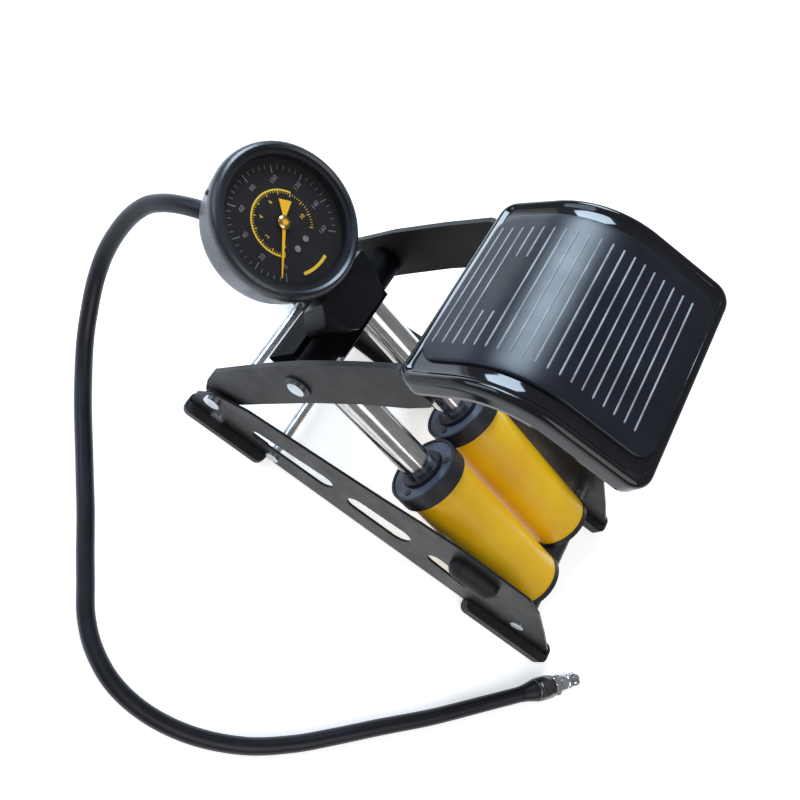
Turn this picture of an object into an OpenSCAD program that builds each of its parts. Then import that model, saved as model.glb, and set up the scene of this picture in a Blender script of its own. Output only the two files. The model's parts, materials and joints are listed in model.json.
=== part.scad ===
// Double-barrel foot air pump with a pressure gauge, in millimetres.
// +X runs from the hinge end to the front, +Y across, +Z up.
// The origin is at the middle of the pump's footprint, on the floor.

/* [Base] */
// Distance between the outer faces of the two side rails
rail_width = 129; // [120:1:140]
// Thickness of the pressed rails
rail_t = 2; // [1.5:0.5:2.5]
// Height of a rail's web at its highest
rail_h = 88; // [84:1:92]
// Front end of the base
front_x = 208; // [204:0.5:210]
// Diameter of the two cross rods, the axle and the arm bolts
rod_d = 8; // [6:0.5:8]

/* [Treadle] */
// Distance between the outer faces of the two arms
arms_width = 120; // [116:1:121]
// Thickness of an arm
arm_t = 4; // [3:0.5:5]
// Width of the pedal
pedal_width = 138; // [130:1:142]
// Outer radius of the pedal's bend
pedal_r = 61.2; // [56:0.2:66]
// Depth of the pedal's side skirts
skirt_h = 11; // [8:1:13]

/* [Cylinders] */
// Outer diameter of a barrel
barrel_d = 50; // [46:1:52]
// Distance between the two barrel axes
barrel_gap = 57; // [57:0.5:60]
// Wall thickness of a barrel
barrel_t = 3; // [2:0.5:4]
// Outer diameter of a piston rod
piston_rod_d = 24; // [18:1:26]

/* [Gauge] */
// Outer diameter of the gauge's rubber case
gauge_d = 97; // [92:1:99]
// Depth of the gauge's case
gauge_h = 30; // [26:1:32]
// Forward lean of the dial from level
gauge_tilt = 12; // [8:1:16]

/* [Hose] */
// Outer diameter of the hose
hose_d = 12; // [10:0.5:12]

/* [Hidden] */
$fn = 48;

NEAR = -1;
FAR = 1;
rail_in = rail_width / 2 - rail_t;
rail_z = 4;
flange_w = 6;
arm_out = arms_width / 2;
arm_in = arm_out - arm_t;
rod_r = rod_d / 2;
run_gap = 0.05;

// Joint axes, all across the pump
arm_pivot = [-130, 38];
manifold_axis = [-95, 140];
front_pivot = [162, 30];
rear_rod_at = [-120, 14];
cross_rod_at = [-70, 14];

// The barrels' frame: origin on the front pivot, local Z up along the piston rods, local X upward
rod_drop = 20;
pivot_span = norm(manifold_axis - front_pivot);
line_a = atan2(manifold_axis[1] - front_pivot[1], front_pivot[0] - manifold_axis[0]);
axis_a = line_a - asin(rod_drop / pivot_span);
manifold_z = sqrt(pow(pivot_span, 2) - pow(rod_drop, 2));
barrel_y = barrel_gap / 2;
barrel_r = barrel_d / 2;
bore_r = barrel_r - barrel_t;
tube_r = piston_rod_d / 2;
tube_bore_r = tube_r - 2.5;
barrel_z0 = 12;
barrel_z1 = 144;
cap_z0 = 140;
cap_z1 = 153;
cap_r = barrel_r + 3;
piston_z0 = 110;
piston_z1 = 122;
tube_z1 = 280;
block_z0 = 269;
block_z1 = 292;
block_x1 = 31;
boss_r = 10.4;
screw_r = 3;
screw_end_r = 2;
boss_bore_r = 8;

// The pedal's side view: level from the front end, bent about pedal_c, then straight down to the hinge side
pedal_c = [5.2, 239.3];
pedal_a0 = 92;
pedal_a1 = 148.3;
pedal_l1 = 55;
pedal_l2 = pedal_l1 + pedal_r * (pedal_a1 - pedal_a0) * PI / 180;
pedal_l = pedal_l2 + 35.5;
pedal_t = 2;
pedal_y = pedal_width / 2;
mat_t = 2.2;

// The gauge's face centre and the angle of its zero mark, from the downward direction of the dial
gauge_c = [-159.5, 0, 190];
gauge_r = gauge_d / 2;
zero_a = -56;
can_r = 41;

// The hose leaves the gland along the piston rods' slant, comes down behind the pump and runs along the floor
hose_r = hose_d / 2;
hose_exit = [-135, 0, 137];
lead_route = [
    [-138, 0, 137.9], [-148, 0, 141], [-163, 0, 144], [-178, 0, 145], [-193, -1, 144], [-204.7, -2.7, 139.8]
];
floor_z = hose_r + 0.2;
floor_route = [
    [-207, -3, 139], [-220, -4, 130], [-231, -5, 119], [-240, -7, 106], [-246, -12, 90], [-249, -20, 72],
    [-249, -30, 55], [-245, -43, 39], [-237, -59, 26], [-227, -76, 16], [-213, -96, 9.5], [-198, -116, 7],
    [-182, -136, floor_z], [-167, -155, floor_z], [-152, -174, floor_z], [-138, -193, floor_z],
    [-125, -210, floor_z], [-111, -228, floor_z], [-93, -243, floor_z], [-69, -254, floor_z],
    [-39, -258, floor_z], [-5, -254, floor_z], [29, -242, floor_z], [57, -225, floor_z],
    [80, -207, floor_z], [110, -182, floor_z], [142, -156, floor_z], [173, -128, 7], [199.5, -103.5, 9.55]
];
// The gland's place in the barrels' frame, and its length out of the manifold
exit_v = hose_exit - [front_pivot[0], 0, front_pivot[1]];
gland_x = exit_v * [sin(axis_a), 0, cos(axis_a)];
gland_l = exit_v * [-cos(axis_a), 0, sin(axis_a)] - block_z1;
end_at = [200, -103, 9.6];
end_dir = [0.733, 0.68, 0];
sleeve_l = 14;
nut_l = 16;
body_l = 14;
jaws_l = 11;

black_steel = [0.13, 0.13, 0.14];
rubber_black = [0.06, 0.06, 0.065];
plastic_black = [0.09, 0.09, 0.1];
zinc = [0.72, 0.74, 0.76];
chrome = [0.82, 0.82, 0.83];
brass = [0.78, 0.6, 0.28];
barrel_yellow = [0.95, 0.7, 0.08];

// ---- placing ----

// A plate whose outline is drawn in X and Z, from y0 to y0 + t
module plate(y0, t) {
    translate([0, y0 + t, 0])
        rotate([90, 0, 0])
            linear_extrude(t)
                children();
}

// The same between two distances out from the middle, on one side
module side_plate(side, inner, outer) {
    plate(side < 0 ? -outer : inner, outer - inner)
        children();
}

// A bar across the pump on the axis at [x, z], from y0 to y1
module across(at, y0, y1, r) {
    translate([at[0], y0, at[1]])
        rotate([-90, 0, 0])
            cylinder(h = y1 - y0, r = r);
}

// The same on one side, between two distances out from the middle
module side_bar(side, at, inner, outer, r) {
    across(at, side < 0 ? -outer : inner, side < 0 ? -inner : outer, r);
}

// A bar across the pump in the barrels' frame, where at is [local x, local z]
module local_across(at, y0, y1, r) {
    translate([at[0], y0, at[1]])
        rotate([-90, 0, 0])
            cylinder(h = y1 - y0, r = r);
}

module in_barrel_frame(y = 0) {
    translate([front_pivot[0], y, front_pivot[1]])
        rotate([0, axis_a - 90, 0])
            children();
}

module in_gauge_frame() {
    translate(gauge_c)
        rotate([0, gauge_tilt, 0])
            children();
}

module ring(z0, z1, r_in, r_out) {
    translate([0, 0, z0])
        difference() {
            cylinder(h = z1 - z0, r = r_out);
            translate([0, 0, -1])
                cylinder(h = z1 - z0 + 2, r = r_in);
        }
}

// ---- base ----

module rail_outline() {
    offset(r = 11)
        offset(delta = -11)
            polygon([
                [-143, rail_z], [-143, 30], [-133, 48], [-106, 60], [-66, 66], [-25, 72], [6, 77],
                [36, rail_h - 5], [70, rail_h], [134, rail_h], [151, rail_h - 12], [178, 46],
                [front_x - 6, 18], [front_x - 2, rail_z]
            ]);
    polygon([[-140, rail_z], [-140, 12], [front_x - 12, 12], [front_x - 9, rail_z]]);
}

module slot(a, ra, b, rb) {
    hull() {
        translate(a)
            circle(ra, $fn = 32);
        translate(b)
            circle(rb, $fn = 32);
    }
}

module rail(side) {
    color(black_steel)
        difference() {
            union() {
                side_plate(side, rail_in, rail_in + rail_t)
                    difference() {
                        rail_outline();
                        slot([-88, 31.5], 6, [-32, 36], 9);
                        slot([1, 36], 9.5, [38, 38], 11);
                        slot([75, 39], 8, [104, 36], 8);
                    }
                translate([-128, side < 0 ? -rail_in : rail_in - flange_w, rail_z])
                    cube([318, flange_w, 2]);
            }
            for (at = [rear_rod_at, cross_rod_at, front_pivot, arm_pivot])
                side_bar(side, at, rail_in - 1, rail_in + rail_t + 1, rod_r);
        }
}

module headed_rod(at) {
    across(at, -rail_width / 2, rail_width / 2, rod_r);
    for (side = [NEAR, FAR])
        side_bar(side, at, rail_width / 2, rail_width / 2 + 1.6, rod_r + 1.6);
}

module rear_rod() {
    color(zinc)
        headed_rod(rear_rod_at);
}

module cross_rod() {
    color(zinc)
        headed_rod(cross_rod_at);
}

module front_axle() {
    color(zinc)
        headed_rod(front_pivot);
}

module axle_spacers() {
    color(zinc)
        for (side = [NEAR, FAR])
            difference() {
                side_bar(side, front_pivot, 51, rail_in, rod_r + 3);
                side_bar(side, front_pivot, 50, rail_in + 1, rod_r);
            }
}

module arm_bolts() {
    color(zinc)
        for (side = [NEAR, FAR]) {
            side_bar(side, arm_pivot, arm_in - 3, rail_width / 2, rod_r);
            side_bar(side, arm_pivot, rail_width / 2, rail_width / 2 + 3, rod_r + 2.5);
            side_bar(side, arm_pivot, arm_in - 4.5, arm_in - 1.2, rod_r + 2.5);
        }
}

// A rubber channel pushed up over the rail's lower edge, its groove running from g0 to g1
module foot_pad(side, x0, x1, top, g0, g1) {
    color(rubber_black)
        difference() {
            linear_extrude(top)
                translate([(x0 + x1) / 2, side * 64])
                    offset(r = 6)
                        square([x1 - x0 - 12, 5], center = true);
            translate([g0, side < 0 ? -rail_in - rail_t : rail_in, rail_z])
                cube([g1 - g0, rail_t, top]);
            translate([g0, side < 0 ? -rail_in : rail_in - flange_w, rail_z])
                cube([g1 - g0, flange_w, 2]);
        }
}

module rear_foot(side) {
    foot_pad(side, -145, -73, 7.8, -143, -72);
}

module front_foot(side) {
    foot_pad(side, 124, front_x, 11, 123, front_x - 2);
}

// A fat rubber bumper lying against the rail's outer face over the front slot
module rail_bumper(side) {
    color(rubber_black)
        difference() {
            translate([84, side * 67, 66])
                rotate([0, 91, 0])
                    union() {
                        cylinder(h = 27, r = 9);
                        sphere(r = 9);
                        translate([0, 0, 27])
                            sphere(r = 7.5);
                    }
            translate([60, side < 0 ? -rail_width / 2 : 0, 20])
                cube([90, rail_width / 2, 70]);
        }
}

// ---- treadle ----

// An arm's outline: a slightly bowed bar with its pivot near the lower front corner
module arm_outline() {
    offset(r = 5)
        offset(delta = -5)
            polygon([
                [-135, 23], [-140, 40], [-142, 53], [-142, 70], [-138, 80], [-130, 101], [-119, 129.5],
                [-104, 165], [-84, 204], [-65, 238], [-51, 230], [-44, 229], [-37, 234], [-36.5, 224],
                [-43, 207], [-61, 174], [-81, 131], [-97.5, 90], [-115, 47], [-120, 30]
            ]);
}

// A point on the pedal's side view, s along its top from the front end and o outward from it
function pedal_at(s, o) =
    let (a = s < pedal_l1 ? pedal_a0
        : s > pedal_l2 ? pedal_a1
        : pedal_a0 + (s - pedal_l1) / pedal_r * 180 / PI,
        d = s < pedal_l1 ? s - pedal_l1 : s > pedal_l2 ? s - pedal_l2 : 0)
        pedal_c + (pedal_r + o) * [cos(a), sin(a)] + d * [-sin(a), cos(a)];

function pedal_stops(s0, s1) = [
    s0,
    for (i = [0:24])
        let (s = pedal_l1 + (pedal_l2 - pedal_l1) * i / 24)
            if (s > s0 + 0.2 && s < s1 - 0.2)
                s,
    s1
];

// The strip of the pedal's side view from s0 to s1, between two distances outward
module pedal_band(s0, s1, o0, o1) {
    stops = pedal_stops(s0, s1);
    last = len(stops) - 1;
    polygon([
        for (s = stops)
            pedal_at(s, o1),
        for (i = [0:last])
            pedal_at(stops[last - i], o0)
    ]);
}

module arm(side) {
    color(black_steel)
        difference() {
            side_plate(side, arm_in, arm_out)
                union() {
                    difference() {
                        arm_outline();
                        pedal_band(-1, pedal_l + 2, -5, 30);
                    }
                    pedal_band(95, pedal_l + 7, -skirt_h - 1, -5);
                    pedal_band(95, pedal_l - 14, -skirt_h, -pedal_t - 0.1);
                    polygon([
                        [-58, 240], [-60, 222], [-45, 222], pedal_at(pedal_l - 6, -22), pedal_at(pedal_l - 22, -8)
                    ]);
                }
            side_bar(side, arm_pivot, arm_in - 1, arm_out + 1, rod_r + run_gap);
            side_bar(side, manifold_axis, arm_in - 1, arm_out + 1, screw_r);
        }
}

module arm_washers() {
    color(plastic_black)
        for (side = [NEAR, FAR])
            difference() {
                side_bar(side, arm_pivot, arm_out, arm_out + 2, rod_r + 4);
                side_bar(side, arm_pivot, arm_out - 1, arm_out + 3, rod_r + run_gap);
            }
}

// What is cut away to round one of the pedal's corners, beyond s toward that end
module pedal_corner(s, rear, side, half, r) {
    at = pedal_at(s, 0);
    translate([at[0], 0, at[1]])
        rotate([0, 90 - (rear ? pedal_a1 : pedal_a0), 0])
            mirror([rear ? 1 : 0, 0, 0])
                mirror([0, side < 0 ? 1 : 0, 0])
                    translate([-0.1, half - r - 0.1, -30])
                        linear_extrude(50)
                            polygon([
                                for (i = [0:9])
                                    r * [sin(10 * i), cos(10 * i)],
                                [r + 1, 0], [r + 1, r + 1], [0, r + 1]
                            ]);
}

// A slab that follows the pedal, with rounded corners
module pedal_slab(inset, half, o0, o1, r_front, r_rear) {
    difference() {
        plate(-half, 2 * half)
            pedal_band(inset, pedal_l - inset, o0, o1);
        for (side = [NEAR, FAR]) {
            pedal_corner(inset + r_front, false, side, half, r_front);
            pedal_corner(pedal_l - inset - r_rear, true, side, half, r_rear);
        }
    }
}

// A pressed pan: turned down all round, less deep at the hinge side where the arms run under it
module pedal_plate() {
    color(black_steel)
        difference() {
            pedal_slab(0, pedal_y, -skirt_h, 0, 12, 10);
            pedal_slab(pedal_t, pedal_y - pedal_t, -skirt_h - 1, -pedal_t, 12 - pedal_t, 10 - pedal_t);
            plate(pedal_t - pedal_y, 2 * (pedal_y - pedal_t))
                pedal_band(pedal_l - 14, pedal_l + 1, -skirt_h - 1, -5);
        }
}

module pedal_mat() {
    color(rubber_black)
        pedal_slab(6.5, pedal_y - 14, 0, mat_t, 11, 12);
}

module manifold_screws() {
    color(zinc)
        for (side = [NEAR, FAR]) {
            side_bar(side, manifold_axis, 44, arm_in - 1.5, screw_end_r);
            side_bar(side, manifold_axis, arm_in - 1.5, arm_out + 1.5, screw_r);
            side_bar(side, manifold_axis, arm_out + 1.5, arm_out + 3.6, 6);
        }
}

module screw_washers() {
    color(plastic_black)
        for (side = [NEAR, FAR])
            difference() {
                side_bar(side, manifold_axis, arm_out, arm_out + 1.5, 9);
                side_bar(side, manifold_axis, arm_out - 1, arm_out + 2, screw_r);
            }
}

// ---- cylinders ----

module barrel(side) {
    color(barrel_yellow)
        in_barrel_frame(side * barrel_y)
            ring(barrel_z0, barrel_z1, bore_r, barrel_r);
}

module cylinder_foot() {
    color(plastic_black)
        in_barrel_frame()
            difference() {
                union() {
                    for (side = [NEAR, FAR])
                        translate([0, side * barrel_y, 0]) {
                            translate([0, 0, 8])
                                cylinder(h = 4, r = barrel_r + 1);
                            translate([0, 0, 12])
                                cylinder(h = 5, r = bore_r);
                        }
                    local_across([0, 0], -50.5, 50.5, 9);
                    translate([-9, -50.5, 0])
                        cube([18, 101, 9]);
                }
                local_across([0, 0], -51.5, 51.5, rod_r + run_gap);
            }
}

module top_cap(side) {
    color(plastic_black)
        in_barrel_frame(side * barrel_y)
            difference() {
                translate([0, 0, cap_z0])
                    cylinder(h = cap_z1 - cap_z0, r = cap_r);
                translate([0, 0, cap_z0 - 1])
                    cylinder(h = barrel_z1 - cap_z0 + 1, r = barrel_r);
                translate([0, 0, barrel_z1 - 1])
                    cylinder(h = 4.5, r = bore_r);
                translate([0, 0, barrel_z1 - 1])
                    cylinder(h = 11, r = 15);
                translate([0, 0, cap_z1 - 1.5])
                    ring(0, 3, 16.5, 26);
                for (a = screw_angles)
                    rotate(a)
                        translate([20.5, 0, cap_z1 - 6])
                            cylinder(h = 8, r = 1.4);
            }
}

screw_angles = [25, 145, 265];

module cap_screws() {
    color(zinc)
        for (side = [NEAR, FAR])
            in_barrel_frame(side * barrel_y)
                for (a = screw_angles)
                    rotate(a)
                        translate([20.5, 0, 0]) {
                            translate([0, 0, cap_z1 - 6])
                                cylinder(h = 4.5, r = 1.4);
                            translate([0, 0, cap_z1 - 1.5])
                                cylinder(h = 1.4, r = 2.6);
                        }
}

module rod_bush(side) {
    color(plastic_black)
        in_barrel_frame(side * barrel_y) {
            ring(barrel_z1, cap_z1, tube_r + run_gap, 15);
            ring(cap_z1, cap_z1 + 2, tube_r + run_gap, 16);
        }
}

// A helical spring of round wire, as one swept mesh
spring_turns = 6;
spring_steps = 14;
spring_r = 16;
wire_r = 1.4;
module return_spring(side) {
    z0 = 17 + wire_r + 0.3;
    rise = piston_z0 - wire_r - 0.3 - z0;
    n = spring_turns * spring_steps;
    rings = [
        for (i = [0:n])
            let (a = 360 * i / spring_steps, c = [spring_r * cos(a), spring_r * sin(a), z0 + rise * i / n])
                [for (k = [0:5]) c + wire_r * [cos(60 * k) * cos(a), cos(60 * k) * sin(a), sin(60 * k)]]
    ];
    color(zinc)
        in_barrel_frame(side * barrel_y)
            swept(rings);
}

// A closed mesh through a list of rings, each with the same number of points
module swept(rings) {
    n = len(rings);
    m = len(rings[0]);
    polyhedron(
        points = [for (r = rings) each r],
        faces = [
            for (i = [0:n - 2])
                for (k = [0:m - 1])
                    each [
                        [i * m + k, i * m + (k + 1) % m, (i + 1) * m + k],
                        [(i + 1) * m + k, i * m + (k + 1) % m, (i + 1) * m + (k + 1) % m]
                    ],
            [for (k = [0:m - 1]) m - 1 - k],
            [for (k = [0:m - 1]) (n - 1) * m + k]
        ]
    );
}

// ---- piston unit ----

module piston_rod(side) {
    color(chrome)
        in_barrel_frame(side * barrel_y)
            ring(piston_z1, tube_z1, tube_bore_r, tube_r);
}

module piston(side) {
    color(plastic_black)
        in_barrel_frame(side * barrel_y)
            difference() {
                union() {
                    translate([0, 0, piston_z0])
                        cylinder(h = piston_z1 - piston_z0, r = bore_r - 0.35);
                    translate([0, 0, piston_z1])
                        cylinder(h = 8, r = tube_bore_r);
                }
                translate([0, 0, piston_z0 + 4])
                    ring(0, 4, bore_r - 3.5, bore_r + 1);
                translate([0, 0, piston_z0 - 1])
                    cylinder(h = 25, r = 3.5);
            }
}

module piston_seals() {
    color(rubber_black)
        for (side = [NEAR, FAR])
            in_barrel_frame(side * barrel_y)
                ring(piston_z0 + 4, piston_z0 + 8, bore_r - 3.5, bore_r - 0.06);
}

module valve_balls() {
    color(rubber_black)
        for (side = [NEAR, FAR])
            in_barrel_frame(side * barrel_y)
                translate([0, 0, piston_z1 + 8 + sqrt(25 - 3.5 * 3.5) + 0.02])
                    sphere(r = 5);
}

module block_body() {
    translate([-15, -44, block_z0])
        cube([30, 88, block_z1 - block_z0]);
    translate([14, -28, block_z0])
        cube([block_x1 - 14, 56, block_z1 - block_z0]);
    local_across([rod_drop, manifold_z], 2 - arm_in, arm_in - 2, boss_r);
}

module manifold() {
    color(plastic_black)
        in_barrel_frame()
            difference() {
                block_body();
                for (side = [NEAR, FAR]) {
                    translate([0, side * barrel_y, block_z0 - 1])
                        cylinder(h = tube_z1 - block_z0 + 1, r = tube_r);
                    translate([0, side * barrel_y, tube_z1 - 1])
                        cylinder(h = 3, r = 9.5);
                    translate([0, side * barrel_y, tube_z1 - 1])
                        cylinder(h = 5, r = 8);
                    local_across(
                        [rod_drop, manifold_z], side < 0 ? -arm_in : 42, side < 0 ? -42 : arm_in, boss_bore_r
                    );
                }
                local_across([0, tube_z1 + 2], -barrel_y, barrel_y, 2.5);
                translate([gland_x, 0, tube_z1])
                    cylinder(h = 20, r = 4);
            }
}

module rod_seals() {
    color(rubber_black)
        for (side = [NEAR, FAR])
            in_barrel_frame(side * barrel_y)
                ring(tube_z1, tube_z1 + 2, 8, 9.5);
}

// A broad rubber saddle from the case to the top of the manifold
module neck_body() {
    hull() {
        translate([can_r + 6, -24, -gauge_h + 2])
            cube([2, 48, gauge_h - 7]);
        translate([58, -29, -38])
            cube([4, 58, 25]);
        translate([75, -15, -30])
            cube([2, 30, 20]);
    }
}

module gauge_neck() {
    color(rubber_black)
        difference() {
            in_gauge_frame()
                neck_body();
            in_gauge_frame()
                translate([0, 0, -60])
                    cylinder(h = 80, r = gauge_r, $fn = 96);
            in_barrel_frame()
                block_body();
            in_gauge_frame()
                translate([0, 0, -20])
                    rotate([0, 90, 0])
                        cylinder(h = 100, r = 6);
        }
}

// The rubber case: a cup with a rounded rim
module gauge_case() {
    color(rubber_black)
        in_gauge_frame()
            difference() {
                rotate_extrude($fn = 96)
                    polygon([
                        [0, -gauge_h], [gauge_r - 7, -gauge_h], [gauge_r - 4, -gauge_h + 2],
                        [gauge_r - 3, -gauge_h + 6], [gauge_r, -5], [gauge_r - 0.6, -1.4],
                        [gauge_r - 2.2, 1], [gauge_r - 4, 1.6], [gauge_r - 5.6, 0.6], [gauge_r - 6, -1],
                        [can_r, -1], [can_r, -gauge_h + 3], [0, -gauge_h + 3]
                    ]);
                translate([can_r - 3, 0, -20])
                    rotate([0, 90, 0])
                        cylinder(h = 20, r = 6);
            }
}

module gauge_can() {
    color(plastic_black)
        in_gauge_frame()
            difference() {
                translate([0, 0, -gauge_h + 3])
                    cylinder(h = gauge_h - 4, r = can_r, $fn = 96);
                translate([0, 0, -gauge_h + 4.2])
                    cylinder(h = gauge_h, r = can_r - 1.2, $fn = 96);
                translate([can_r - 5, 0, -20])
                    rotate([0, 90, 0])
                        cylinder(h = 20, r = 6);
            }
}

module gauge_dial() {
    color(plastic_black)
        in_gauge_frame()
            difference() {
                translate([0, 0, -9])
                    cylinder(h = 0.8, r = can_r - 1.2, $fn = 96);
                translate([0, 0, -10])
                    cylinder(h = 3, r = 1);
                for (at = dial_screw_at)
                    translate([at[0], at[1], -10])
                        cylinder(h = 3, r = 1.2);
            }
}

dial_screw_at = [[16, -6], [16, 3]];

module dial_screws() {
    color(zinc)
        in_gauge_frame()
            for (at = dial_screw_at)
                translate([at[0], at[1], 0]) {
                    translate([0, 0, -12])
                        cylinder(h = 3.8, r = 1.2);
                    translate([0, 0, -8.2])
                        cylinder(h = 0.7, r = 2);
                }
}

module gauge_lens() {
    color([0.8, 0.88, 0.9, 0.3])
        in_gauge_frame()
            translate([0, 0, -3.2])
                cylinder(h = 1.6, r = can_r - 1.2, $fn = 96);
}

module bourdon_tube() {
    color(brass)
        in_gauge_frame()
            translate([0, 0, -19]) {
                rotate(30)
                    rotate_extrude(angle = 290, $fn = 96)
                        translate([26, 0])
                            square([4, 7], center = true);
                translate([22, -5, -3.5])
                    cube([6, 30, 7]);
            }
}

module gauge_stem() {
    color(brass)
        difference() {
            in_gauge_frame()
                translate([28, 0, -20])
                    rotate([0, 90, 0])
                        cylinder(h = 44, r = 6);
            in_gauge_frame()
                translate([27, 0, -20])
                    rotate([0, 90, 0])
                        cylinder(h = 80, r = 2);
            in_barrel_frame()
                block_body();
        }
}

module gauge_needle() {
    color(barrel_yellow)
        in_gauge_frame()
            rotate(zero_a) {
                translate([0, 0, -7])
                    linear_extrude(0.6)
                        polygon([[-14, -4.2], [-5, -1.3], [34, -0.35], [34, 0.35], [-5, 1.3], [-14, 4.2]]);
                translate([0, 0, -12])
                    cylinder(h = 5, r = 0.9);
                translate([0, 0, -7.4])
                    cylinder(h = 2, r = 3.2);
            }
}

// ---- hose ----

module hose_gland() {
    color(plastic_black)
        in_barrel_frame()
            translate([gland_x, 0, block_z1])
                difference() {
                    union() {
                        cylinder(h = 8, r = 9, $fn = 6);
                        translate([0, 0, 8])
                            cylinder(h = gland_l - 8, r1 = 8, r2 = hose_r + 0.6);
                        translate([0, 0, block_z0 - block_z1 + 19])
                            cylinder(h = 8, r = 4);
                    }
                    translate([0, 0, -10])
                        cylinder(h = gland_l + 20, r = 2.2);
                }
}

function unit(v) = v / norm(v);
// Direction of a route at point i
function run_at(route, i) = unit(
    i == 0 ? route[1] - route[0]
    : i == len(route) - 1 ? route[i] - route[i - 1]
    : unit(route[i + 1] - route[i]) + unit(route[i] - route[i - 1])
);
function ring_at(c, d, r, m) =
    let (s = unit(cross(d, [0.1, 0.2, 1])), t = cross(s, d))
        [for (k = [0:m - 1]) c + r * (cos(360 * k / m) * s + sin(360 * k / m) * t)];

module tube_along(route, r) {
    swept([for (i = [0:len(route) - 1]) ring_at(route[i], run_at(route, i), r, 10)]);
}

module hose_lead() {
    color(rubber_black)
        tube_along(lead_route, hose_r);
}

module hose() {
    color(rubber_black)
        tube_along(floor_route, hose_r);
}

// A stretch of the end fitting, from s0 along the fitting's line
module on_fitting(s0) {
    translate(end_at + s0 * end_dir)
        rotate([0, 90, atan2(end_dir[1], end_dir[0])])
            children();
}

module hose_sleeve() {
    color(rubber_black)
        on_fitting(0)
            cylinder(h = sleeve_l, r1 = hose_r + 0.3, r2 = 8.3);
}

module hose_nut() {
    color(black_steel)
        on_fitting(sleeve_l)
            cylinder(h = nut_l, r = 9.4, $fn = 6);
}

module chuck_body() {
    color(chrome)
        on_fitting(sleeve_l + nut_l) {
            cylinder(h = 5, r = 9.2, $fn = 6);
            translate([0, 0, 5])
                cylinder(h = body_l - 5, r = 7.6);
        }
}

module chuck_jaws() {
    color(chrome)
        on_fitting(sleeve_l + nut_l + body_l)
            difference() {
                cylinder(h = jaws_l, r = 6.2);
                translate([0, 0, 1])
                    cylinder(h = jaws_l, r = 4);
            }
}

rail(NEAR);  // rail_near
rail(FAR);  // rail_far
rear_rod();
cross_rod();
front_axle();
axle_spacers();
arm_bolts();
rear_foot(NEAR);  // rear_foot_near
rear_foot(FAR);  // rear_foot_far
front_foot(NEAR);  // front_foot_near
front_foot(FAR);  // front_foot_far
rail_bumper(NEAR);  // rail_bumper_near
rail_bumper(FAR);  // rail_bumper_far
arm(NEAR);  // arm_near
arm(FAR);  // arm_far
arm_washers();
pedal_plate();
pedal_mat();
manifold_screws();
screw_washers();
barrel(NEAR);  // barrel_near
barrel(FAR);  // barrel_far
cylinder_foot();
top_cap(NEAR);  // top_cap_near
top_cap(FAR);  // top_cap_far
cap_screws();
rod_bush(NEAR);  // rod_bush_near
rod_bush(FAR);  // rod_bush_far
return_spring(NEAR);  // return_spring_near
return_spring(FAR);  // return_spring_far
piston_rod(NEAR);  // piston_rod_near
piston_rod(FAR);  // piston_rod_far
piston(NEAR);  // piston_near
piston(FAR);  // piston_far
piston_seals();
valve_balls();
manifold();
rod_seals();
gauge_neck();
gauge_case();
gauge_can();
gauge_dial();
gauge_lens();
bourdon_tube();
gauge_stem();
dial_screws();
gauge_needle();
hose_gland();
hose_lead();
hose();
hose_sleeve();
hose_nut();
chuck_body();
chuck_jaws();
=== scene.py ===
import json
import math

import bmesh
import bpy
from mathutils import Matrix, Vector


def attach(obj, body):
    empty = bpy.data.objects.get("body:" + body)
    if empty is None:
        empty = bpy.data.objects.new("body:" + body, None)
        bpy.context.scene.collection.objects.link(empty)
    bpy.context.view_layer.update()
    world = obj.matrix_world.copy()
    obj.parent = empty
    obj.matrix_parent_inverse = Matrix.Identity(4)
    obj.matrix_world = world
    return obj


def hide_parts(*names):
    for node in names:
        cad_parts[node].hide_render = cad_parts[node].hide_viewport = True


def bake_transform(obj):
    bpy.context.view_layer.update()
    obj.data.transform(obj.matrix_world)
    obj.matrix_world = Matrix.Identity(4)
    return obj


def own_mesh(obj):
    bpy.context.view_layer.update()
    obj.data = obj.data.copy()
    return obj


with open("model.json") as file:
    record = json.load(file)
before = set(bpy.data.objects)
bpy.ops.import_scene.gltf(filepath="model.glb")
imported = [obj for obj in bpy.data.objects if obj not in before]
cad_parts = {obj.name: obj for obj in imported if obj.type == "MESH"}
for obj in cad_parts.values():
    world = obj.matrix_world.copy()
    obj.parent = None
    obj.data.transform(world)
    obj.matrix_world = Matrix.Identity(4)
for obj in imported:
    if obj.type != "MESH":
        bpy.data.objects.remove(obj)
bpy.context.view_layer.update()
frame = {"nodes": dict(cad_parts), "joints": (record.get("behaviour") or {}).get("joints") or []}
MM = 0.001

JOINT = {j["name"]: j for j in frame["joints"]}

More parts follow.
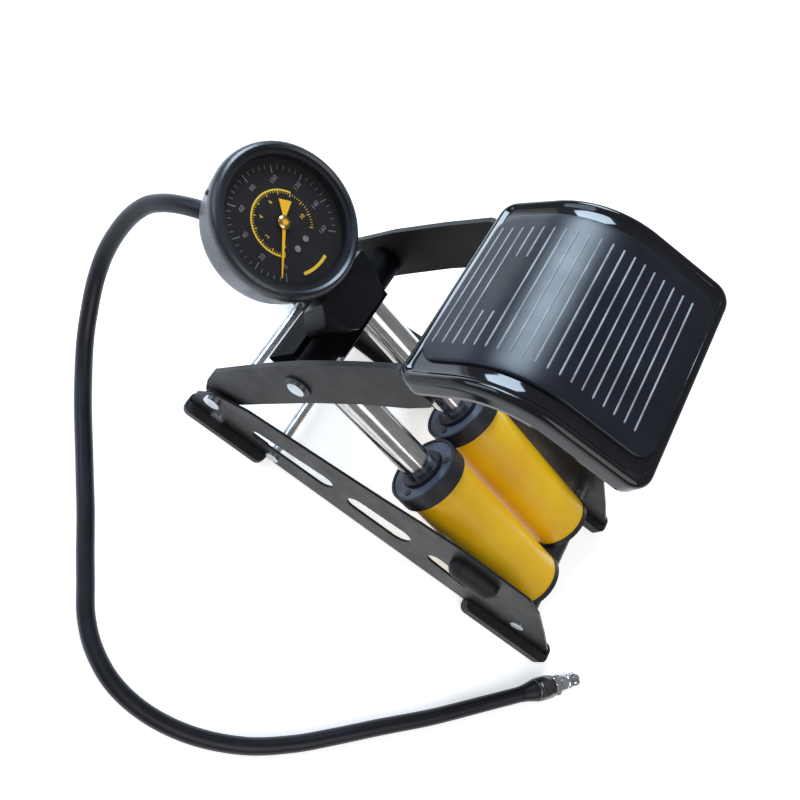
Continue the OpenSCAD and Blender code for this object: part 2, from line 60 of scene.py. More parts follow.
# ---- measures repeated from the CAD, in millimetres ----
PEDAL_C = (5.2, 239.3)
PEDAL_R = 61.2
PEDAL_A0, PEDAL_A1 = 92.0, 148.3
PEDAL_L1 = 55.0
PEDAL_L2 = PEDAL_L1 + PEDAL_R * math.radians(PEDAL_A1 - PEDAL_A0)
PEDAL_LENGTH = PEDAL_L2 + 35.5
PEDAL_HALF = 69.0
MAT_HALF = 55.0
RIM_UP = 1.6
MAT_T = 2.2
GAUGE_C = Vector(JOINT["needle_hinge"]["pos_m"]) / MM
GAUGE_TILT = 12.0
GAUGE_R = 48.5
ZERO_A = -50.0
FRONT = Vector(JOINT["barrel_pivot"]["pos_m"]) / MM
AXIS_A = 19.069
BARREL_Y = 28.5
CAP_TOP = 153.0
EXIT = (-135, 0, 137)
ROUTE = [
    EXIT, (-148, 0, 141), (-163, 0, 144), (-178, 0, 145), (-193, -1, 144), (-207, -3, 139),
    (-220, -4, 130), (-231, -5, 119), (-240, -7, 106), (-246, -12, 90), (-249, -20, 72),
    (-249, -30, 55), (-245, -43, 39), (-237, -59, 26), (-227, -76, 16), (-213, -96, 9.5),
    (-198, -116, 7), (-182, -136, 6.2), (-167, -155, 6.2), (-152, -174, 6.2), (-138, -193, 6.2),
    (-125, -210, 6.2), (-111, -228, 6.2), (-93, -243, 6.2), (-69, -254, 6.2), (-39, -258, 6.2),
    (-5, -254, 6.2), (29, -242, 6.2), (57, -225, 6.2), (80, -207, 6.2), (110, -182, 6.2),
    (142, -156, 6.2), (173, -128, 7), (200, -103, 9.6),
]
END_DIR = Vector((0.733, 0.68, 0)).normalized()
HOSE_R = 6.0

BARREL_FRAME = Matrix.Translation(FRONT * MM) @ Matrix.Rotation(math.radians(AXIS_A - 90), 4, "Y")
GAUGE_FRAME = Matrix.Translation(GAUGE_C * MM) @ Matrix.Rotation(math.radians(GAUGE_TILT), 4, "Y")


# ---- camera ----
camera_data = bpy.data.cameras.new("camera")
camera_data.lens = 38.36
camera_data.sensor_width = 36
camera = bpy.data.objects.new("camera", camera_data)
camera.location = (-0.13608, -0.26971, 0.62618)
camera.rotation_euler = [math.radians(a) for a in (16.4626, -23.6276, 31.322)]
bpy.context.scene.collection.objects.link(camera)
bpy.context.scene.camera = camera


# ---- materials ----
def new_material(name):
    mat = bpy.data.materials.new(name)
    mat.use_nodes = True
    return mat, mat.node_tree.nodes, mat.node_tree.links


def noise(nodes, links, scale, detail=3.0, stretch=None):
    coords = nodes.new("ShaderNodeTexCoord")
    out = nodes.new("ShaderNodeTexNoise")
    out.inputs["Scale"].default_value = scale
    out.inputs["Detail"].default_value = detail
    source = coords.outputs["Object"]
    if stretch:
        mapping = nodes.new("ShaderNodeMapping")
        mapping.inputs["Scale"].default_value = stretch
        links.new(source, mapping.inputs["Vector"])
        source = mapping.outputs["Vector"]
    links.new(source, out.inputs["Vector"])
    return out.outputs["Fac"]


def finish_material(
    name, dark, light, rough=(0.3, 0.4), metallic=0.0, patch=30.0, grain=900.0, bump=0.05,
    coat=0.0, coat_rough=0.05, specular=0.5, stretch=None,
):
    """A surface whose colour and gloss drift a little between two values, with a fine grain."""
    mat, nodes, links = new_material(name)
    shader = nodes["Principled BSDF"]
    shader.inputs["Metallic"].default_value = metallic
    shader.inputs["Specular IOR Level"].default_value = specular
    if coat:
        shader.inputs["Coat Weight"].default_value = coat
        shader.inputs["Coat Roughness"].default_value = coat_rough
    drift = noise(nodes, links, patch, 4.0, stretch)
    ramp = nodes.new("ShaderNodeValToRGB")
    ramp.color_ramp.elements[0].position = 0.35
    ramp.color_ramp.elements[0].color = (*dark, 1)
    ramp.color_ramp.elements[1].position = 0.65
    ramp.color_ramp.elements[1].color = (*light, 1)
    links.new(drift, ramp.inputs["Fac"])
    links.new(ramp.outputs["Color"], shader.inputs["Base Color"])
    gloss = nodes.new("ShaderNodeMapRange")
    gloss.inputs["From Min"].default_value = 0.3
    gloss.inputs["From Max"].default_value = 0.7
    gloss.inputs["To Min"].default_value = rough[0]
    gloss.inputs["To Max"].default_value = rough[1]
    links.new(noise(nodes, links, patch * 2.3, 5.0, stretch), gloss.inputs["Value"])
    links.new(gloss.outputs["Result"], shader.inputs["Roughness"])
    if bump:
        height = nodes.new("ShaderNodeBump")
        height.inputs["Strength"].default_value = bump
        height.inputs["Distance"].default_value = 0.0003
        links.new(noise(nodes, links, grain, 2.0, stretch), height.inputs["Height"])
        links.new(height.outputs["Normal"], shader.inputs["Normal"])
    return mat


M = {
    "rail": finish_material(
        "rail_black", (0.009, 0.008, 0.009), (0.015, 0.014, 0.015), (0.36, 0.48), bump=0.1, grain=700,
        specular=0.3,
    ),
    "arm": finish_material(
        "arm_grey", (0.010, 0.009, 0.009), (0.018, 0.017, 0.017), (0.46, 0.56), bump=0.1, grain=700,
        specular=0.25,
    ),
    "plate": finish_material(
        "pedal_gloss", (0.003, 0.003, 0.004), (0.006, 0.006, 0.008), (0.05, 0.10),
        bump=0.02, grain=120, specular=0.3, coat=0.2,
    ),
    "mat": finish_material(
        "mat_rubber", (0.004, 0.005, 0.009), (0.008, 0.010, 0.016), (0.28, 0.34), bump=0.2, grain=1600,
        specular=0.34,
    ),
    "ridge": finish_material(
        "mat_ridges", (0.16, 0.17, 0.19), (0.30, 0.31, 0.33), (0.4, 0.55), bump=0.2, grain=1600, patch=60
    ),
    "yellow": finish_material(
        "barrel_yellow", (0.76, 0.41, 0.004), (0.86, 0.52, 0.008), (0.28, 0.38), bump=0.06, grain=500,
        patch=18, coat=0.2, coat_rough=0.15,
    ),
    "cap": finish_material(
        "cap_black", (0.008, 0.008, 0.011), (0.015, 0.015, 0.020), (0.36, 0.48), bump=0.2, grain=1400,
        specular=0.35,
    ),
    # Satin grey with painted sky reflection: the pale blue of the caps' faces is partly reflected sky
    "cap_face": finish_material(
        "cap_face_grey_painted_sky_reflection", (0.045, 0.055, 0.085), (0.085, 0.10, 0.14), (0.30, 0.42), metallic=0.3,
        bump=0.1, grain=900, patch=70,
    ),
    # The manifold: black plastic with painted shade. Its colour and sheen are pushed almost to nothing to
    # stand for the shade it sits in.
    "moulded": finish_material(
        "manifold_black_painted_shade", (0.002, 0.002, 0.003), (0.004, 0.004, 0.005), (0.55, 0.65), bump=0.06,
        grain=900, specular=0.04,
    ),
    "boot": finish_material(
        "boot_rubber", (0.009, 0.011, 0.016), (0.015, 0.018, 0.025), (0.27, 0.35), bump=0.06, grain=1300,
        specular=0.5,
    ),
    "neck": finish_material(
        "neck_rubber", (0.004, 0.004, 0.006), (0.008, 0.008, 0.011), (0.36, 0.46), bump=0.06, grain=1300,
        specular=0.25,
    ),
    "rubber": finish_material(
        "foot_rubber", (0.007, 0.007, 0.008), (0.013, 0.013, 0.014), (0.5, 0.62), bump=0.3, grain=1200,
        specular=0.3,
    ),
    "hose": finish_material(
        "hose_rubber", (0.005, 0.005, 0.008), (0.010, 0.010, 0.015), (0.34, 0.44), bump=0.15, grain=1500,
        specular=0.3,
    ),
    # The dial: black, lightened by a painted sheen that stands for the reflection in the glass over it, whose
    # own gloss is kept faint
    "dial": finish_material(
        "dial_black_painted_sheen", (0.014, 0.012, 0.014), (0.020, 0.017, 0.020), (0.55, 0.65), bump=0.0, specular=0.2
    ),
    "print_grey": finish_material(
        "dial_grey_print", (0.16, 0.16, 0.17), (0.26, 0.26, 0.27), (0.5, 0.6), bump=0.05, grain=2000
    ),
    "print_yellow": finish_material(
        "dial_yellow_print", (0.80, 0.50, 0.03), (0.92, 0.62, 0.06), (0.45, 0.6), bump=0.05, grain=2000
    ),
    "amber": finish_material(
        "needle_amber", (0.88, 0.44, 0.01), (0.98, 0.56, 0.02), (0.3, 0.4), bump=0.05, grain=1500
    ),
    "chrome": finish_material(
        "rod_chrome", (0.52, 0.50, 0.48), (0.68, 0.67, 0.66), (0.10, 0.18), metallic=1.0, bump=0.03,
        grain=300, stretch=(0.3, 6, 6),
    ),
    "zinc": finish_material(
        "zinc_plate", (0.42, 0.45, 0.48), (0.62, 0.65, 0.68), (0.22, 0.36), metallic=1.0, bump=0.08,
        grain=900, patch=90,
    ),
    "dark_metal": finish_material(
        "nut_dark", (0.08, 0.08, 0.08), (0.17, 0.16, 0.16), (0.16, 0.3), metallic=1.0, bump=0.1,
        grain=500, patch=120,
    ),
    "bright": finish_material(
        "chuck_nickel", (0.50, 0.51, 0.53), (0.78, 0.78, 0.80), (0.08, 0.2), metallic=1.0, bump=0.08,
        grain=400, patch=150,
    ),
    "brass": finish_material(
        "brass", (0.50, 0.34, 0.12), (0.68, 0.50, 0.22), (0.18, 0.3), metallic=1.0, bump=0.05
    ),
}


def glass_material():
    """Clear glass that lets the light through to the dial: mostly transparent, glossy at a slant."""
    mat, nodes, links = new_material("gauge_glass")
    nodes.remove(nodes["Principled BSDF"])
    clear = nodes.new("ShaderNodeBsdfTransparent")
    gloss = nodes.new("ShaderNodeBsdfGlossy")
    gloss.inputs["Roughness"].default_value = 0.03
    slant = nodes.new("ShaderNodeLayerWeight")
    slant.inputs["Blend"].default_value = 0.5
    share = nodes.new("ShaderNodeMath")
    share.operation = "POWER"
    share.inputs[1].default_value = 3.0
    links.new(slant.outputs["Facing"], share.inputs[0])
    mix = nodes.new("ShaderNodeMixShader")
    links.new(share.outputs["Value"], mix.inputs["Fac"])
    links.new(clear.outputs["BSDF"], mix.inputs[1])
    links.new(gloss.outputs["BSDF"], mix.inputs[2])
    links.new(mix.outputs["Shader"], nodes["Material Output"].inputs["Surface"])
    return mat


M["glass"] = glass_material()


# ---- building ----
def add_object(name, mesh, material, body, smooth=True, angle=35):
    mesh.materials.clear()
    mesh.materials.append(M[material])
    obj = bpy.data.objects.new(name, mesh)
    bpy.context.scene.collection.objects.link(obj)
    if smooth:
        for p in mesh.polygons:
            p.use_smooth = True
        mesh.set_sharp_from_angle(angle=math.radians(angle))
    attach(obj, body)
    return obj


def mesh_from(name, verts, faces, scale=MM, matrix=None):
    mesh = bpy.data.meshes.new(name)
    mesh.from_pydata([tuple(Vector(v) * scale) for v in verts], [], faces)
    if matrix is not None:
        mesh.transform(matrix)
    bm = bmesh.new()
    bm.from_mesh(mesh)
    bmesh.ops.remove_doubles(bm, verts=bm.verts, dist=1e-6)
    bmesh.ops.recalc_face_normals(bm, faces=bm.faces)
    bm.to_mesh(mesh)
    bm.free()
    return mesh


def turned(profile, steps=64):
    """A closed solid turned from a profile of (radius, height), from one end of the axis to the other."""
    verts, faces, rings = [], [], []
    for r, z in profile:
        if r < 1e-6:
            rings.append([len(verts)])
            verts.append((0, 0, z))
        else:
            rings.append([len(verts) + k for k in range(steps)])
            verts += [
                (r * math.cos(2 * math.pi * k / steps), r * math.sin(2 * math.pi * k / steps), z)
                for k in range(steps)
            ]
    for a, b in zip(rings, rings[1:]):
        for k in range(steps):
            j = (k + 1) % steps
            if len(a) == 1 and len(b) == 1:
                continue
            if len(a) == 1:
                faces.append((a[0], b[k], b[j]))
            elif len(b) == 1:
                faces.append((a[k], b[0], a[j]))
            else:
                faces.append((a[k], b[k], b[j], a[j]))
    return verts, faces


def softened(node, material, body, width=0.6, segments=2):
    """A copy of a CAD node with its sharp edges rounded, which stands for it."""
    mesh = frame["nodes"][node].data.copy()
    mesh.materials.clear()
    mesh.materials.append(M[material])
    bm = bmesh.new()
    bm.from_mesh(mesh)
    bmesh.ops.remove_doubles(bm, verts=bm.verts, dist=2e-6)
    bmesh.ops.dissolve_limit(
        bm, angle_limit=math.radians(1.0), use_dissolve_boundaries=False, verts=bm.verts, edges=bm.edges
    )
    bm.to_mesh(mesh)
    bm.free()
    obj = bpy.data.objects.new(node + "_finished", mesh)
    bpy.context.scene.collection.objects.link(obj)
    bevel = obj.modifiers.new("edges", "BEVEL")
    bevel.width = width * MM
    bevel.segments = segments
    bevel.limit_method = "ANGLE"
    bevel.angle_limit = math.radians(40)
    for p in mesh.polygons:
        p.use_smooth = True
    mesh.set_sharp_from_angle(angle=math.radians(180))
    weighted = obj.modifiers.new("normals", "WEIGHTED_NORMAL")
    weighted.keep_sharp = True
    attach(obj, body)
    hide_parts(node)


def repaint(nodes, material):
    for n in nodes:
        obj = frame["nodes"][n]
        obj.data.materials.clear()
        obj.data.materials.append(M[material])


# ---- hose ----
def smooth_line(points, step):
    """A line through the points, rounded, with a point about every step millimetres."""
    pts = [Vector(p) for p in points]
    pts = [2 * pts[0] - pts[1]] + pts + [2 * pts[-1] - pts[-2]]
    out = []
    for a, b, c, d in zip(pts, pts[1:], pts[2:], pts[3:]):
        n = max(2, round((c - b).length / step))
        for i in range(n):
            t = i / n
            out.append(
                0.5 * (2 * b + (c - a) * t + (2 * a - 5 * b + 4 * c - d) * t * t
                       + (3 * b - a - 3 * c + d) * t * t * t)
            )
    return out + [pts[-2]]


def tube(points, radius, sides):
    verts, faces = [], []
    side = None
    for i, p in enumerate(points):
        run = (points[min(i + 1, len(points) - 1)] - points[max(i - 1, 0)]).normalized()
        side = run.orthogonal() if side is None else side - run * side.dot(run)
        side.normalize()
        other = run.cross(side)
        for k in range(sides):
            a = 2 * math.pi * k / sides
            verts.append(p + radius * (math.cos(a) * side + math.sin(a) * other))
    for i in range(len(points) - 1):
        for k in range(sides):
            j = (k + 1) % sides
            faces.append((i * sides + k, i * sides + j, (i + 1) * sides + j, (i + 1) * sides + k))
    faces.append(tuple(range(sides)))
    faces.append(tuple(range((len(points) - 1) * sides, len(points) * sides)))
    return verts, faces


hose_line = smooth_line(ROUTE, 4.0)
hose_mesh = mesh_from("air_hose", *tube(hose_line, HOSE_R, 24))
hose = bpy.data.objects.new("air_hose", hose_mesh)
hose_mesh.materials.append(M["hose"])
bpy.context.scene.collection.objects.link(hose)
for face in hose_mesh.polygons:
    face.use_smooth = True
hose_mesh.set_sharp_from_angle(angle=math.radians(50))
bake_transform(hose)
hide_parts("hose_lead", "hose")

# The fitting on the hose's end, along its own axis
END_FRAME = (
    Matrix.Translation(Vector(ROUTE[-1]) * MM)
    @ END_DIR.to_track_quat("Z", "Y").to_matrix().to_4x4()
)


def fitting(name, profile, material, node, steps=48):
    obj = add_object(name, mesh_from(name, *turned(profile, steps), matrix=END_FRAME), material, "base")
    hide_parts(node)
    return obj


def hex_nut(name, z0, z1, across, material, node, chamfer=1.2):
    """A six-sided nut with turned chamfers at both ends."""
    verts, faces = [], []
    corner = across / 2 / math.cos(math.pi / 6)
    rows = []
    for z, limit in ((z0, corner - chamfer), (z0 + chamfer * 0.6, corner), (z1 - chamfer * 0.6, corner),
                     (z1, corner - chamfer)):
        row = []
        for k in range(48):
            a = 2 * math.pi * k / 48
            off = (a + math.pi / 6) % (math.pi / 3) - math.pi / 6
            r = min(across / 2 / math.cos(off), limit)
            row.append(len(verts))
            verts.append((r * math.cos(a), r * math.sin(a), z))
        rows.append(row)
    for a, b in zip(rows, rows[1:]):
        for k in range(48):
            j = (k + 1) % 48
            faces.append((a[k], b[k], b[j], a[j]))
    faces.append(tuple(rows[0]))
    faces.append(tuple(rows[-1]))
    mesh = mesh_from(name, verts, faces, matrix=END_FRAME)
    obj = add_object(name, mesh, material, "base", angle=20)
    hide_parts(node)
    return obj


sleeve = fitting(
    "hose_flare",
    [
        (0, 0.0), (6.15, 0), (6.3, 1.5), (6.6, 4), (7.2, 7.5), (7.9, 10.5), (8.3, 12.6), (8.3, 13.6),
        (7.9, 14), (0, 14),
    ],
    "hose", "hose_sleeve",
)
ferrule = fitting(
    "hose_ferrule",
    [
        (0, 14), (8.3, 14), (8.9, 14.4), (9.1, 15.5), (9.1, 16.4), (8.7, 16.9), (9.25, 17.6), (9.35, 22),
        (9.3, 26.5), (8.8, 27.4), (8.9, 28.4), (8.6, 29.8), (0, 30),
    ],
    "dark_metal", "hose_nut",
)
chuck = hex_nut("chuck_hex", 30, 35.5, 15.6, "bright", "chuck_body")
chuck_barrel = fitting(
    "chuck_barrel",
    [
        (0, 35), (6.6, 35), (6.6, 36.2), (7.5, 37), (7.5, 41), (7.3, 42), (6.9, 42.6), (6.9, 43.4),
        (7.2, 44), (0, 44),
    ],
    "bright", "chuck_body",
)


def chuck_jaws():
    """The open end of the chuck: a slotted sleeve around a plain bore."""
    section = [
        (4.1, 44), (6.0, 44), (6.2, 45), (6.2, 47), (5.7, 47.6), (5.7, 49.6), (6.1, 50.4), (5.9, 54),
        (5.4, 55), (4.3, 55), (4.05, 54.4), (4.05, 45),
    ]
    verts, faces = [], []
    steps = 60
    rows = []
    for r, z in section:
        row = []
        for k in range(steps):
            a = 2 * math.pi * k / steps
            in_slot = k % 15 in (0, 1) and z > 49
            reach = min(r, 4.6) if in_slot else r
            row.append(len(verts))
            verts.append((reach * math.cos(a), reach * math.sin(a), z))
        rows.append(row)
    for a, b in zip(rows, rows[1:] + rows[:1]):
        for k in range(steps):
            j = (k + 1) % steps
            faces.append((a[k], b[k], b[j], a[j]))
    mesh = mesh_from("chuck_sleeve", verts, faces, matrix=END_FRAME)
    obj = add_object("chuck_sleeve", mesh, "bright", "base", angle=30)
    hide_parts("chuck_jaws")
    return obj


jaws = chuck_jaws()


# ---- pedal ----
def rounded_rows(length, half, inset, r_front, r_rear, n_corner=8, n_side=44):
    """Rows of (along, half width, outward direction at the row's end) of a rounded rectangle."""
    rows = []
    for i in range(n_corner):
        a = math.pi / 2 * i / n_corner
        rows.append((r_front - (r_front - inset) * math.cos(a),
                     half - r_front + (r_front - inset) * math.sin(a), (-math.cos(a), math.sin(a))))
    for i in range(n_side + 1):
        s = r_front + (length - r_front - r_rear) * i / n_side
        rows.append((s, half - inset, (0.0, 1.0)))
    for i in range(1, n_corner + 1):
        a = math.pi / 2 * i / n_corner
        rows.append((length - r_rear + (r_rear - inset) * math.sin(a),
                     half - r_rear + (r_rear - inset) * math.cos(a), (math.sin(a), math.cos(a))))
    return rows


def pedal_at(s, y, up):
    """The point s along the pedal's top from its front end, y across and up above it."""
    if s < PEDAL_L1:
        a, past = math.radians(PEDAL_A0), s - PEDAL_L1
    elif s > PEDAL_L2:
        a, past = math.radians(PEDAL_A1), s - PEDAL_L2
    else:
        a, past = math.radians(PEDAL_A0) + (s - PEDAL_L1) / PEDAL_R, 0.0
    r = PEDAL_R + up
    return (PEDAL_C[0] + r * math.cos(a) - past * math.sin(a), y,
            PEDAL_C[1] + r * math.sin(a) + past * math.cos(a))


def curved_panel(
    name, s0, s1, level, half, r_front, r_rear, fillet, rim=None, depth=None, closed=None, columns=26
):
    """A rounded rectangle bent to the pedal's side view, its edge rounded over and turned down.
    rim lists (distance out, height) steps up to the edge. depth(share of the length, outward y) gives
    how far down an open edge goes, and closed gives a flat underside instead."""
    length = s1 - s0
    verts, faces = [], []

    def point(s, y, up):
        return pedal_at(s0 + s, y, level + up)

    shelf = rim[-1][0] if rim else 0.0
    crest = rim[-1][1] if rim else 0.0
    rows = rounded_rows(length, half, shelf + fillet, r_front, r_rear)

    def grid(rows, up):
        index = []
        for s, w, _ in rows:
            index.append([len(verts) + k for k in range(columns + 1)])
            verts.extend(point(s, w * (2 * k / columns - 1), up) for k in range(columns + 1))
        for a, b in zip(index, index[1:]):
            for k in range(columns):
                faces.append((a[k], a[k + 1], b[k + 1], b[k]))
        return index

    top = grid(rows, 0.0)
    previous = (
        top[0][:-1] + [row[-1] for row in top[:-1]] + top[-1][:0:-1] + [row[0] for row in top[:0:-1]]
    )
    base_points, outs = [], []
    for k in range(columns):
        base_points.append((rows[0][0], rows[0][1] * (2 * k / columns - 1)))
        outs.append((-1.0, 0.0))
    for s, w, d in rows[:-1]:
        base_points.append((s, w))
        outs.append(d)
    for k in range(columns, 0, -1):
        base_points.append((rows[-1][0], rows[-1][1] * (2 * k / columns - 1)))
        outs.append((1.0, 0.0))
    for s, w, d in rows[:0:-1]:
        base_points.append((s, -w))
        outs.append((d[0], -d[1]))

    def ring(offset, ups):
        nonlocal previous
        current = []
        for (s, y), (ds, dy), up in zip(base_points, outs, ups):
            current.append(len(verts))
            verts.append(point(s + ds * offset, y + dy * offset, up))
        for i in range(len(current)):
            j = (i + 1) % len(current)
            faces.append((previous[i], previous[j], current[j], current[i]))
        previous = current

    for out, height in rim or []:
        ring(out, [height] * len(base_points))
    for step in range(1, 6):
        a = math.pi / 2 * step / 5
        ring(shelf + fillet * math.sin(a), [crest - fillet * (1 - math.cos(a))] * len(base_points))
    edge, low = shelf + fillet, fillet - crest
    if closed is None:
        depths = [depth(s / length, abs(dy)) for (s, y), (ds, dy) in zip(base_points, outs)]
        for step in range(1, 5):
            ring(edge, [-low - (d - low) * step / 4 for d in depths])
    else:
        ring(edge, [-closed] * len(base_points))
        grid(rounded_rows(length, half, 0.0, r_front, r_rear), -closed)
    return mesh_from(name, verts, faces)


def edge_depth(share, sideways):
    """How far down the plate's edge is turned: most at the sides, least over the arms."""
    end = 8.0 if share < 0.5 else 4.6
    return end + (11.0 - end) * sideways


# The plate's edge swells into a low rim around the mat before it turns down
RIM = [(0.9, 0.25), (1.9, 0.85), (2.9, 1.35), (3.8, RIM_UP)]
plate_mesh = curved_panel(
    "pedal_shell", 0.0, PEDAL_LENGTH, 0.0, PEDAL_HALF, 12.0, 10.0, 3.6, rim=RIM, depth=edge_depth
)
plate = add_object("pedal_shell", plate_mesh, "plate", "treadle", angle=60)
thickness = plate.modifiers.new("thickness", "SOLIDIFY")
thickness.thickness = 1.9 * MM
thickness.offset = -1
thickness.use_even_offset = True
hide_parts("pedal_plate")

mat_mesh = curved_panel(
    "tread_mat", 6.5, PEDAL_LENGTH - 6.5, MAT_T, MAT_HALF, 11.0, 12.0, 1.2, closed=MAT_T - 0.05
)
tread = add_object("tread_mat", mat_mesh, "mat", "treadle", angle=60)
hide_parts("pedal_mat")

RIDGES = 19
RIDGE_STEP = 6.7
RIDGE_START = 20.8
RIDGE_HALF = 44.0
RIDGE_H = 0.65


def under_ridge(top_s):
    """The place along the plate below a place measured along the ridges' tops."""
    bend = (PEDAL_L2 - PEDAL_L1) * (PEDAL_R + MAT_T + RIDGE_H) / PEDAL_R
    if top_s < PEDAL_L1:
        return top_s
    if top_s < PEDAL_L1 + bend:
        return PEDAL_L1 + (top_s - PEDAL_L1) * (PEDAL_L2 - PEDAL_L1) / bend
    return PEDAL_L2 + top_s - PEDAL_L1 - bend


def ridge(verts, faces, at, y0, y1, width=1.15):
    """One raised rib across the mat, round in section and at both ends."""
    sections = [(y0, 0.0), (y0 + 0.3, 0.6), (y0 + 1.0, 1.0), (y1 - 1.0, 1.0), (y1 - 0.3, 0.6), (y1, 0.0)]
    first = len(verts)
    count = 7
    for y, size in sections:
        for k in range(count):
            a = math.pi * k / (count - 1)
            across = width / 2 * math.cos(a) * (0.3 + 0.7 * size)
            verts.append(pedal_at(at + across, y, MAT_T + RIDGE_H * math.sin(a) * size - 0.1))
    for i in range(len(sections) - 1):
        for k in range(count):
            j = (k + 1) % count
            faces.append((first + i * count + k, first + i * count + j,
                          first + (i + 1) * count + j, first + (i + 1) * count + k))
    faces.append(tuple(range(first, first + count)))
    faces.append(tuple(range(first + (len(sections) - 1) * count, first + len(sections) * count)))


ridge_verts, ridge_faces = [], []
for i in range(RIDGES):
    at = under_ridge(RIDGE_START + RIDGE_STEP * i)
    if i in (RIDGES - 5, RIDGES - 4):
        ridge(ridge_verts, ridge_faces, at, -RIDGE_HALF, -20)
        ridge(ridge_verts, ridge_faces, at, 20, RIDGE_HALF)
    else:
        ridge(ridge_verts, ridge_faces, at, -RIDGE_HALF, RIDGE_HALF)
add_object(
    "tread_ridges", mesh_from("tread_ridges", ridge_verts, ridge_faces), "ridge", "treadle"
)

# ---- pressed and moulded pieces from the CAD, with rounded edges ----
for side in ("near", "far"):
    softened("rail_" + side, "rail", "base", 0.5)
    softened("arm_" + side, "arm", "treadle", 0.6)
    softened("rear_foot_" + side, "rubber", "base", 1.2, 3)
    softened("front_foot_" + side, "rubber", "base", 1.2, 3)
# The manifold's black carries painted shade
softened("manifold", "moulded", "piston_unit", 0.9, 3)
softened("gauge_neck", "neck", "piston_unit", 2.4, 4)
softened("gauge_case", "boot", "piston_unit", 0.4)

repaint(["rear_rod", "cross_rod", "front_axle", "axle_spacers", "arm_bolts", "manifold_screws",
         "dial_screws", "return_spring_near", "return_spring_far"], "zinc")
repaint(["rail_bumper_near", "rail_bumper_far", "piston_seals", "valve_balls", "rod_seals"], "rubber")
repaint(["arm_washers", "screw_washers", "cylinder_foot", "top_cap_near", "top_cap_far", "rod_bush_near",
         "rod_bush_far", "piston_near", "piston_far", "gauge_can", "hose_gland", "cap_screws"], "cap")
repaint(["barrel_near", "barrel_far"], "yellow")
repaint(["piston_rod_near", "piston_rod_far"], "chrome")
repaint(["gauge_dial"], "dial")
repaint(["gauge_lens"], "glass")
repaint(["bourdon_tube", "gauge_stem"], "brass")
repaint(["gauge_needle"], "amber")

# The springs in the barrels, smooth copies of the CAD's that ride with the cylinders
for side in ("near", "far"):
    spring = frame["nodes"]["return_spring_" + side]
    coil = bpy.data.objects.new("spring_" + side, spring.data.copy())
    bpy.context.scene.collection.objects.link(coil)
    for face in coil.data.polygons:
        face.use_smooth = True
    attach(coil, "cylinders")
    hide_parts("return_spring_" + side)
    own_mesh(coil)

# A ring on the face of each barrel's top cap, around the rod's bush: satin grey, its pale blue tone partly
# painted reflection of the sky
for side, sign in (("near", -1), ("far", 1)):
    face_z = CAP_TOP - 1.5
    profile = [(16.7, face_z), (25.9, face_z), (25.9, face_z + 0.5), (25.5, face_z + 0.8),
               (17.1, face_z + 0.8), (16.7, face_z + 0.5), (16.7, face_z)]
    ring_mesh = mesh_from(
        "cap_face_" + side, *turned(profile, 72),
        matrix=BARREL_FRAME @ Matrix.Translation((0, sign * BARREL_Y * MM, 0)),
    )
    add_object("cap_face_" + side, ring_mesh, "cap_face", "cylinders")

# A moulding pip on the side of the gauge's case
pip_mesh = mesh_from(
    "case_pip", *turned([(0, -1.0), (2.2, -1.0), (2.1, 0.6), (1.5, 1.6), (0, 2.0)], 20),
    matrix=GAUGE_FRAME @ Matrix.Rotation(math.radians(-155), 4, "Z")
    @ Matrix.Translation((GAUGE_R * MM - 0.001, 0, -0.008)) @ Matrix.Rotation(math.radians(90), 4, "Y"),
)
add_object("case_pip", pip_mesh, "boot", "piston_unit")

# ---- gauge dial ----
DIAL_Z = -8.2


def dial_mark(verts, faces, angle, r0, r1, width, lift=0.14):
    a = math.radians(angle)
    out, across = Vector((math.cos(a), math.sin(a), 0)), Vector((-math.sin(a), math.cos(a), 0))
    first = len(verts)
    for z in (DIAL_Z, DIAL_Z + lift):
        for r, w in ((r0, -width), (r1, -width), (r1, width), (r0, width)):
            verts.append(out * r + across * (w / 2) + Vector((0, 0, z)))
    for quad in ((3, 2, 1, 0), (4, 5, 6, 7), (0, 1, 5, 4), (1, 2, 6, 5), (2, 3, 7, 6), (3, 0, 4, 7)):
        faces.append(tuple(first + k for k in quad))


def dial_arc(verts, faces, a0, a1, r0, r1, lift=0.14, steps=60):
    first = len(verts)
    for i in range(steps + 1):
        a = math.radians(a0 + (a1 - a0) * i / steps)
        for r, z in ((r0, DIAL_Z), (r1, DIAL_Z), (r1, DIAL_Z + lift), (r0, DIAL_Z + lift)):
            verts.append((r * math.cos(a), r * math.sin(a), z))
    for i in range(steps):
        for k in range(4):
            j = (k + 1) % 4
            faces.append((first + 4 * i + k, first + 4 * i + j, first + 4 * i + 4 + j, first + 4 * i + 4 + k))
    faces.append(tuple(range(first, first + 4)))
    faces.append(tuple(range(first + 4 * steps, first + 4 * steps + 4)))


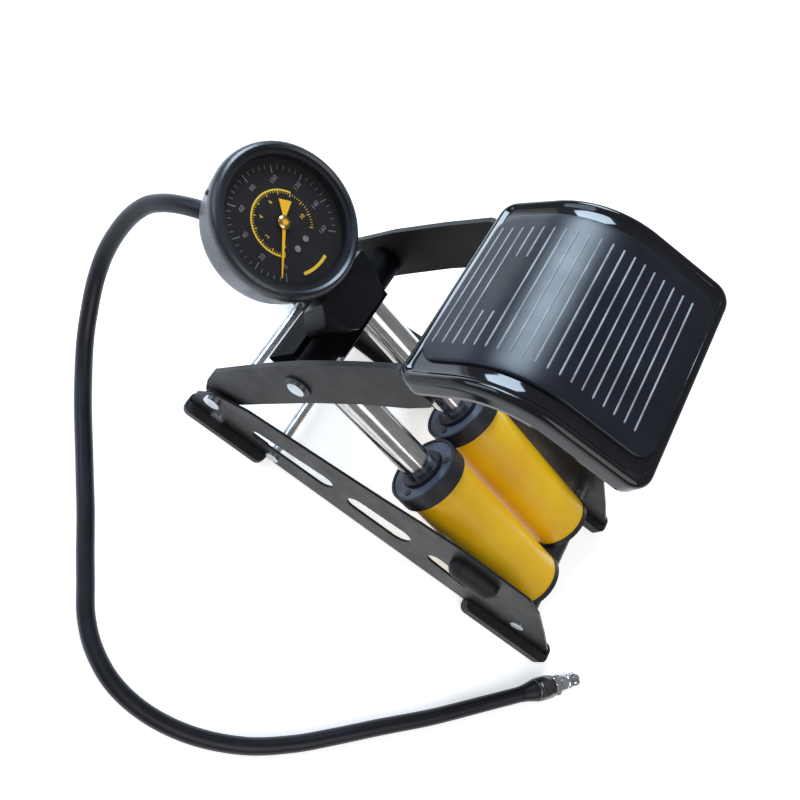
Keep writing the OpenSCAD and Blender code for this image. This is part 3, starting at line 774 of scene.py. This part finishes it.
def numbers(name, labels, size, material):
    """Plain numerals lying on the dial, one mesh."""
    parts = []
    for text, angle, radius in labels:
        curve = bpy.data.curves.new(name, "FONT")
        curve.body = text
        curve.size = size * MM
        curve.extrude = 0.07 * MM
        curve.align_x = "CENTER"
        curve.align_y = "CENTER"
        curve.resolution_u = 3
        obj = bpy.data.objects.new(name, curve)
        bpy.context.scene.collection.objects.link(obj)
        bpy.context.view_layer.update()
        mesh = bpy.data.meshes.new_from_object(obj.evaluated_get(bpy.context.evaluated_depsgraph_get()))
        bpy.data.objects.remove(obj)
        a = math.radians(angle)
        place = Vector((radius * math.cos(a), radius * math.sin(a), DIAL_Z + 0.07)) * MM
        mesh.transform(GAUGE_FRAME @ Matrix.Translation(place) @ Matrix.Rotation(math.radians(90), 4, "Z"))
        parts.append(mesh)
    bm = bmesh.new()
    for mesh in parts:
        bm.from_mesh(mesh)
    bmesh.ops.remove_doubles(bm, verts=bm.verts, dist=1e-7)
    joined = bpy.data.meshes.new(name)
    bm.to_mesh(joined)
    bm.free()
    return add_object(name, joined, material, "piston_unit", smooth=False)


def dial_piece(name, marks, arcs, material):
    verts, faces = [], []
    for m in marks:
        dial_mark(verts, faces, *m)
    for arc in arcs:
        dial_arc(verts, faces, *arc)
    mesh = mesh_from(name, verts, faces, matrix=GAUGE_FRAME)
    return add_object(name, mesh, material, "piston_unit", smooth=False)


# Degrees of dial for each unit of the outer and of the inner scale
PER_OUTER = 34.0 / 20
PER_INNER = 24.66
outer_marks = []
for unit in range(0, 161, 4):
    start, width = (30.5, 0.5) if unit % 20 == 0 else (33.0, 0.3)
    outer_marks.append((ZERO_A - PER_OUTER * unit, start, 35.6, width))
dial_piece("scale_outer", outer_marks, [], "print_grey")
inner_marks = []
for tenth in range(0, 111, 2):
    start, width = (17.6, 0.45) if tenth % 10 == 0 else (18.6, 0.28)
    inner_marks.append((ZERO_A - PER_INNER * tenth / 10, start, 20.0, width))
dial_piece(
    "scale_inner", inner_marks, [(ZERO_A, ZERO_A - PER_INNER * 8, 20.0, 21.0), (-28, 8, 31.0, 33.0)],
    "print_yellow",
)
outer_labels = [(str(u), ZERO_A - PER_OUTER * u, 26.6) for u in range(0, 161, 20)]
numbers("numbers_outer", outer_labels, 4.2, "print_grey")
inner_labels = [(str(u), ZERO_A - PER_INNER * u, 14.2) for u in range(0, 11, 2)]
numbers("numbers_inner", inner_labels, 3.6, "print_yellow")

hub_profile = [
    (0, -6.9), (4.2, -6.9), (4.4, -6.5), (4.3, -5.9), (3.6, -5.3), (2.1, -5.0), (1.9, -5.2), (1.8, -5.9),
    (0, -5.9),
]
hub_mesh = mesh_from("needle_hub", *turned(hub_profile, 40), matrix=GAUGE_FRAME)
add_object("needle_hub", hub_mesh, "brass", "needle")

# ---- light and floor ----
def area_light(name, place, target, size, power, colour, size_y=None):
    data = bpy.data.lights.new(name, "AREA")
    data.shape = "RECTANGLE"
    data.size = size
    data.size_y = size_y or size
    data.energy = power
    data.color = colour
    obj = bpy.data.objects.new(name, data)
    obj.location = place
    obj.rotation_euler = (Vector(target) - Vector(place)).to_track_quat("-Z", "Y").to_euler()
    bpy.context.scene.collection.objects.link(obj)


area_light("window", (-1.00, 1.00, 1.10), (-0.04, 0, 0.25), 0.62, 36, (0.66, 0.82, 1.0), 0.9)
area_light("left_fill", (-1.5, -0.3, 1.0), (-0.1, 0, 0.15), 0.9, 11, (0.62, 0.80, 1.0))
area_light("front_fill", (0.9, -1.0, 1.9), (0, 0, 0.1), 1.6, 20, (1.0, 0.97, 0.93))

world = bpy.data.worlds.new("studio")
bpy.context.scene.world = world
world.use_nodes = True
world.node_tree.nodes["Background"].inputs["Color"].default_value = (0.93, 0.96, 1.0, 1)
world.node_tree.nodes["Background"].inputs["Strength"].default_value = 0.30
bpy.context.scene.view_settings.view_transform = "Standard"

floor_mesh = mesh_from("floor", [(-8, -8, 0), (8, -8, 0), (8, 8, 0), (-8, 8, 0)], [(0, 1, 2, 3)], scale=1.0)
floor = bpy.data.objects.new("floor", floor_mesh)
floor_mat, floor_nodes, _ = new_material("floor_pale")
floor_shader = floor_nodes["Principled BSDF"]
floor_shader.inputs["Base Color"].default_value = (0.94, 0.94, 0.94, 1)
floor_shader.inputs["Roughness"].default_value = 0.9
floor_shader.inputs["Emission Color"].default_value = (1, 1, 1, 1)
floor_shader.inputs["Emission Strength"].default_value = 0.5
floor_mesh.materials.append(floor_mat)
bpy.context.scene.collection.objects.link(floor)
